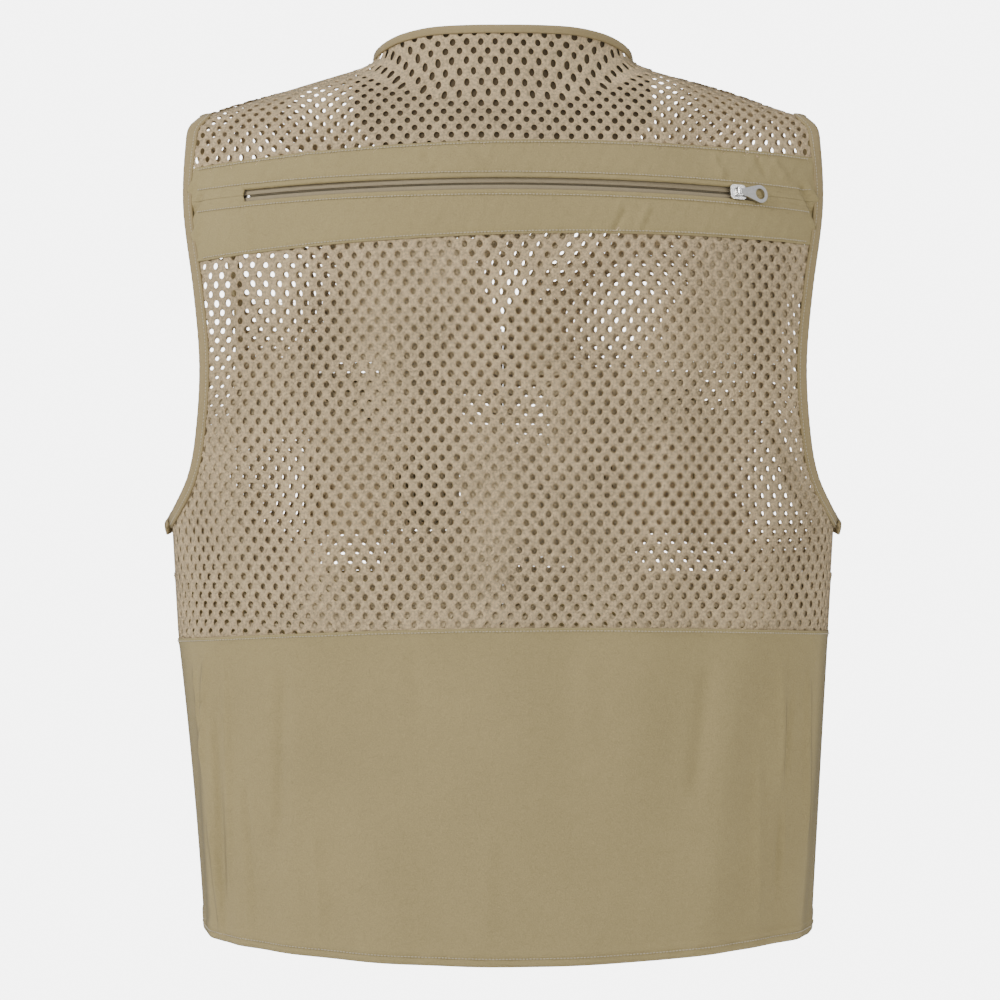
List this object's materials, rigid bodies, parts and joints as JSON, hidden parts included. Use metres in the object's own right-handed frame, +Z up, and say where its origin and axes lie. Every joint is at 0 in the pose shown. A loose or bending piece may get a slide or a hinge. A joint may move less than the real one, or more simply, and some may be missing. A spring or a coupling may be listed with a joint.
{
  "type": "fishing vest",
  "caption": "Sleeveless mesh fishing vest with plain nylon panels, a zipped back pocket, flap pockets in front, an open-ended front zip and bound armholes.",
  "frame": {"origin": "midway between the two neck points, where the shoulder ridges meet the collar and a hanger or the wearer's shoulders carry the vest", "axes": "+Z up, +Y out of the wearer's back, +X towards the wearer's left"},
  "size_m": [0.5026, 0.2709, 0.6951],
  "materials": {
    "plain_fabric": "crinkled nylon, matt",
    "mesh_fabric": "knitted net with round holes",
    "edge_binding": "plain woven tape",
    "hook_and_loop": "short bristle",
    "zip_tape": "twill tape",
    "zip_coil": "nylon coil",
    "zip_metal": "plated die casting",
    "webbing": "narrow webbing"
  },
  "bodies": {
    "back": {"back_armhole_binding_left": "edge_binding", "back_armhole_binding_right": "edge_binding", "back_lower_panel": "plain_fabric", "back_mesh_panel": "mesh_fabric", "back_pocket_lining": "mesh_fabric", "back_yoke_mesh": "mesh_fabric", "back_zip_coil_lower": "zip_coil", "back_zip_coil_upper": "zip_coil", "back_zip_stops": "zip_metal", "back_zip_tape_lower": "zip_tape", "back_zip_tape_upper": "zip_tape", "collar_binding": "edge_binding", "collar_mesh": "mesh_fabric", "hanger_loop": "webbing", "side_seam_tape_left": "zip_tape", "side_seam_tape_right": "zip_tape", "zip_band_lower": "plain_fabric", "zip_band_upper": "plain_fabric"},
    "back_slider": {"back_zip_slider": "zip_metal"},
    "back_pull": {"back_zip_pull": "zip_metal"},
    "front_left": {"chest_pocket_left": "plain_fabric", "chest_pocket_patch_left": "hook_and_loop", "front_armhole_binding_left": "edge_binding", "front_lower_panel_left": "plain_fabric", "front_mesh_panel_left": "mesh_fabric", "front_yoke_mesh_left": "mesh_fabric", "front_zip_box": "zip_metal", "front_zip_coil_left": "zip_coil", "front_zip_stop_left": "zip_metal", "front_zip_tape_left": "zip_tape", "lower_pocket_left": "plain_fabric", "lower_pocket_patch_left": "hook_and_loop", "neckline_binding_left": "edge_binding", "ring_tab": "webbing"},
    "front_right": {"chest_pocket_patch_right": "hook_and_loop", "chest_pocket_right": "plain_fabric", "front_armhole_binding_right": "edge_binding", "front_lower_panel_right": "plain_fabric", "front_mesh_panel_right": "mesh_fabric", "front_yoke_mesh_right": "mesh_fabric", "front_zip_coil_right": "zip_coil", "front_zip_pin": "zip_metal", "front_zip_stop_right": "zip_metal", "front_zip_tape_right": "zip_tape", "lower_pocket_patch_right": "hook_and_loop", "lower_pocket_right": "plain_fabric", "neckline_binding_right": "edge_binding"},
    "front_slider": {"front_zip_slider": "zip_metal"},
    "front_pull": {"front_zip_pull": "zip_metal"},
    "ring": {"d_ring": "zip_metal"},
    "chest_flap_left": {"chest_flap_left": "plain_fabric", "chest_flap_patch_left": "hook_and_loop"},
    "lower_flap_left": {"lower_flap_left": "plain_fabric", "lower_flap_patch_left": "hook_and_loop"},
    "chest_flap_right": {"chest_flap_right": "plain_fabric", "chest_flap_patch_right": "hook_and_loop"},
    "lower_flap_right": {"lower_flap_right": "plain_fabric", "lower_flap_patch_right": "hook_and_loop"}
  },
  "joints": [
    {"name": "back_zip_slide", "type": "hinge", "parent": "back", "child": "back_slider", "pos_m": [0, -0.2843, -0.14599], "axis": [0, 0.1219, -0.9925], "range_deg": [0, 52.8]},
    {"name": "back_pull_swing", "type": "hinge", "parent": "back_slider", "child": "back_pull", "pos_m": [-0.17576, 0.07974, -0.10079], "axis": [-0.0452, 0.2148, -0.9756], "range_deg": [0, 165]},
    {"name": "front_left_open", "type": "hinge", "parent": "back", "child": "front_left", "pos_m": [0.2515, 0, -0.35], "axis": [0, 0, 1], "range_deg": [0, 35]},
    {"name": "front_right_open", "type": "hinge", "parent": "back", "child": "front_right", "pos_m": [-0.2515, 0, -0.35], "axis": [0, 0, -1], "range_deg": [0, 35]},
    {"name": "front_zip_slide", "type": "slide", "parent": "front_left", "child": "front_slider", "axis": [0, 0, 1], "range_m": [0, 0.4433]},
    {"name": "front_pull_swing", "type": "hinge", "parent": "front_slider", "child": "front_pull", "pos_m": [0, -0.1228, -0.648], "axis": [-1, 0, 0], "range_deg": [0, 165]},
    {"name": "chest_flap_left_lift", "type": "hinge", "parent": "front_left", "child": "chest_flap_left", "pos_m": [0.03912, -0.12247, -0.231], "axis": [-0.982, -0.1888, 0], "range_deg": [0, 105]},
    {"name": "lower_flap_left_lift", "type": "hinge", "parent": "front_left", "child": "lower_flap_left", "pos_m": [0.0366, -0.12723, -0.405], "axis": [-0.9695, -0.2449, 0], "range_deg": [0, 105]},
    {"name": "chest_flap_right_lift", "type": "hinge", "parent": "front_right", "child": "chest_flap_right", "pos_m": [-0.03912, -0.12247, -0.231], "axis": [-0.982, 0.1888, 0], "range_deg": [0, 105]},
    {"name": "lower_flap_right_lift", "type": "hinge", "parent": "front_right", "child": "lower_flap_right", "pos_m": [-0.0366, -0.12723, -0.405], "axis": [-0.9695, 0.2449, 0], "range_deg": [0, 105]},
    {"name": "ring_swing", "type": "hinge", "parent": "front_left", "child": "ring", "pos_m": [0.09442, -0.11347, -0.203], "axis": [-0.982, -0.1888, 0], "range_deg": [0, 100]}
  ]
}
